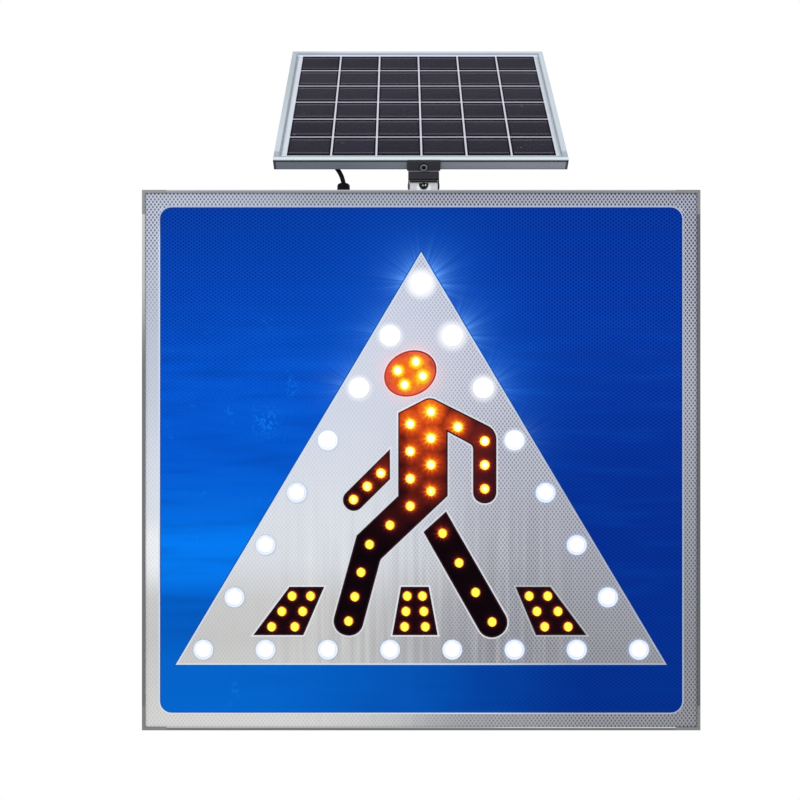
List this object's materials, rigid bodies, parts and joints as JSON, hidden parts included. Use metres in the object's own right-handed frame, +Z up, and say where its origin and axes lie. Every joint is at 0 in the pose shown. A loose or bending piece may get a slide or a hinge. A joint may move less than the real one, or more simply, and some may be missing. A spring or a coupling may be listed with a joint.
{
  "type": "pedestrian crossing sign",
  "caption": "Square lit road sign with a walking figure in a triangle, amber and white lamps, and a tilting solar panel on top.",
  "frame": {"origin": "centre between the two rear rails, on the plane of their open lips, where pole clamps take hold", "axes": "+X to the right as the sign is read, +Y towards the pole (the face looks along -Y), +Z up"},
  "size_m": [0.62, 0.2063, 0.8374],
  "materials": {
    "frame_extrusion": "satin anodised",
    "corner_casting": "cast, satin",
    "plate_aluminium": "mill finish",
    "white_sheeting": "retroreflective sheeting",
    "blue_sheeting": "translucent blue film over sheeting",
    "black_sheeting": "satin film",
    "clear_lens": "clear, lit white",
    "white_emitter": "lit white",
    "amber_lens": "lit amber",
    "circuit_board": "coated board",
    "rail_aluminium": "extruded, satin",
    "fastener_steel": "stainless",
    "black_screw": "black oxide",
    "gasket_rubber": "soft black rubber",
    "panel_extrusion": "satin anodised",
    "panel_glass": "tempered glass",
    "solar_cell": "coated silicon under glass",
    "backsheet": "white film",
    "black_plastic": "moulded",
    "lead_jacket": "smooth black jacket",
    "bracket_black": "black powder coat",
    "knuckle_aluminium": "bright satin",
    "battery_wrap": "shrink wrap",
    "controller_case": "moulded",
    "switch_metal": "brushed stainless"
  },
  "bodies": {
    "housing": {"amber_lamps_figure": "amber_lens", "amber_lamps_head": "amber_lens", "amber_lamps_stripes": "amber_lens", "back_cover": "plate_aluminium", "battery_clamp": "plate_aluminium", "battery_pack": "battery_wrap", "black_film_body": "black_sheeting", "black_film_forearm": "black_sheeting", "black_film_head": "black_sheeting", "black_film_leg": "black_sheeting", "black_film_stripes": "black_sheeting", "blue_film": "blue_sheeting", "bracket_knuckle": "knuckle_aluminium", "cable_gland": "black_plastic", "charge_controller": "controller_case", "corner_bottom_left": "corner_casting", "corner_bottom_right": "corner_casting", "corner_top_left": "corner_casting", "corner_top_right": "corner_casting", "cover_gasket": "gasket_rubber", "cover_screws": "fastener_steel", "face_plate": "plate_aluminium", "frame_bottom": "frame_extrusion", "frame_left": "frame_extrusion", "frame_right": "frame_extrusion", "frame_top": "frame_extrusion", "gland_cap": "black_plastic", "gland_locknut": "black_plastic", "knuckle_backing_plate": "plate_aluminium", "knuckle_screws": "fastener_steel", "lamp_board_head": "circuit_board", "lamp_boards_figure": "circuit_board", "lamp_boards_stripes": "circuit_board", "lamp_strip_bottom": "circuit_board", "lamp_strip_left": "circuit_board", "lamp_strip_right": "circuit_board", "panel_lead": "lead_jacket", "rail_lower": "rail_aluminium", "rail_rivets": "fastener_steel", "rail_upper": "rail_aluminium", "switch_body": "switch_metal", "tilt_lock_screw": "black_screw", "white_emitters": "white_emitter", "white_lenses": "clear_lens", "white_sheeting": "white_sheeting", "wire_from_panel": "lead_jacket", "wire_to_battery": "lead_jacket"},
    "panel": {"panel_frame_front": "panel_extrusion", "panel_frame_back": "panel_extrusion", "panel_frame_left": "panel_extrusion", "panel_frame_right": "panel_extrusion", "panel_glass": "panel_glass", "panel_seal": "gasket_rubber", "solar_cells": "solar_cell", "panel_backsheet": "backsheet", "junction_box": "black_plastic", "tilt_bracket": "bracket_black", "pivot_pin": "fastener_steel", "flange_screw": "fastener_steel"},
    "button": {"switch_button": "switch_metal"}
  },
  "joints": [
    {"name": "panel_tilt", "type": "hinge", "parent": "housing", "child": "panel", "pos_m": [0.0034, -0.044, 0.3104], "axis": [1, 0, 0], "range_deg": [-32, 28], "deforming": ["panel_lead"]},
    {"name": "switch_press", "type": "slide", "parent": "housing", "child": "button", "axis": [0, 0, 1], "range_m": [0, 0.002], "stiffness_N_per_m": 300}
  ]
}
